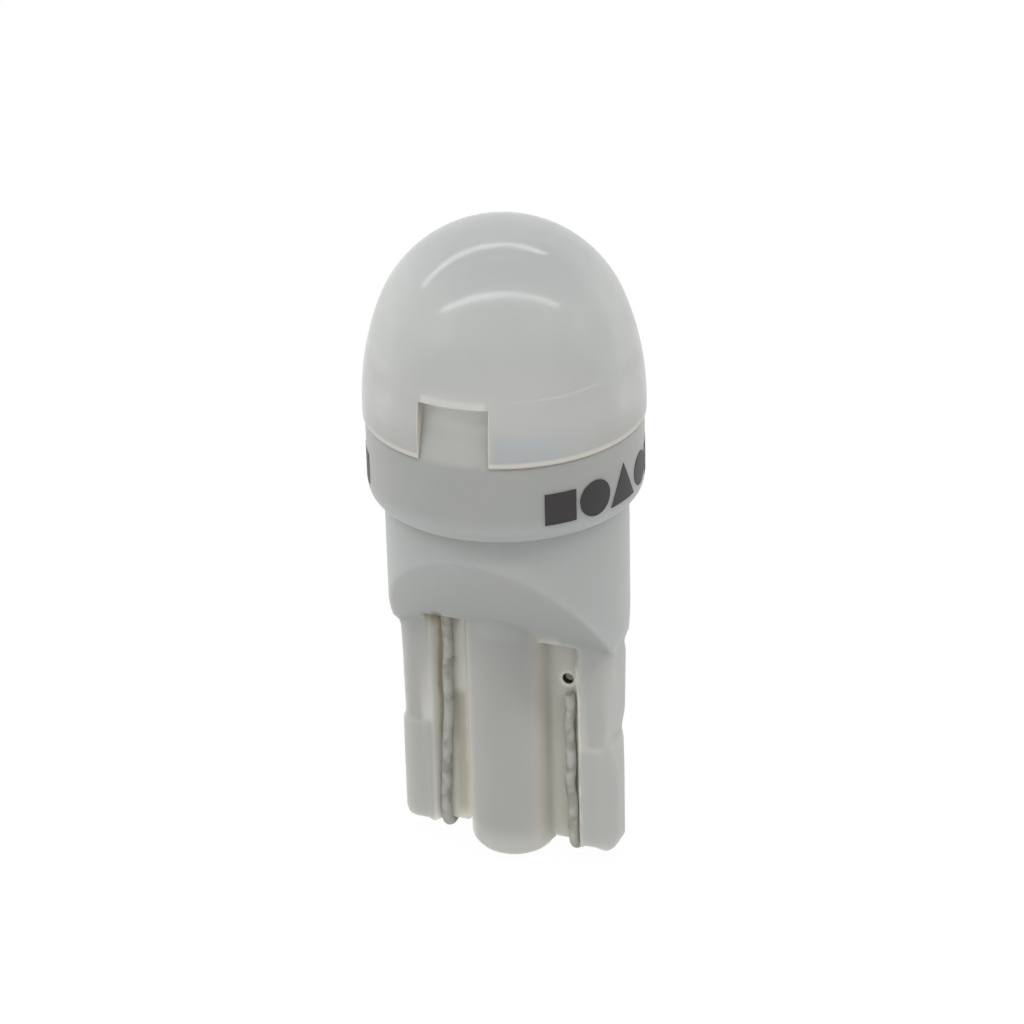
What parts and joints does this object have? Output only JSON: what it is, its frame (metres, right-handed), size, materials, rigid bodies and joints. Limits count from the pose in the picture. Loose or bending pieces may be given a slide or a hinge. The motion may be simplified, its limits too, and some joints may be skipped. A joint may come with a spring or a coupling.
{
  "type": "wedge base led bulb",
  "caption": "Small LED bulb with a frosted dome on a white moulded base, and a flat wedge with bent contact wires that pushes into a wedge socket.",
  "frame": {"origin": "on the centre line, level with the lowest point of the wedge's rib", "axes": "+Z from the wedge up to the dome; +X across the wedge's width; -Y out of its front face"},
  "size_m": [0.011, 0.0108, 0.0278],
  "materials": {
    "housing_plastic": "white injection moulded plastic, satin",
    "frosted_plastic": "frosted white diffuser plastic, semi gloss",
    "contact_wire": "tinned copper wire, dulled",
    "board": "white solder mask over glass fibre board",
    "solder": "soft solder, bright",
    "package_plastic": "white reflector plastic",
    "phosphor": "yellow phosphor in silicone",
    "terminal_metal": "tin plated copper",
    "chip_plastic": "black moulding compound",
    "resistor_body": "black coated ceramic",
    "capacitor_body": "tan ceramic"
  },
  "bodies": {
    "root": {"base_housing": "housing_plastic", "dome_diffuser": "frosted_plastic", "contact_wire_left": "contact_wire", "contact_wire_right": "contact_wire", "circuit_board": "board", "solder_joint_left": "solder", "solder_joint_right": "solder", "led_front_body": "package_plastic", "led_back_body": "package_plastic", "led_front_phosphor": "phosphor", "led_back_phosphor": "phosphor", "led_front_terminals": "terminal_metal", "led_back_terminals": "terminal_metal", "rectifier_diode_1": "chip_plastic", "rectifier_diode_2": "chip_plastic", "rectifier_diode_3": "chip_plastic", "rectifier_diode_4": "chip_plastic", "diode_leads": "terminal_metal", "resistor_front": "resistor_body", "resistor_back": "resistor_body", "resistor_ends": "terminal_metal", "capacitor": "capacitor_body", "capacitor_ends": "terminal_metal", "driver_chip": "chip_plastic", "driver_chip_legs": "terminal_metal"}
  },
  "joints": []
}
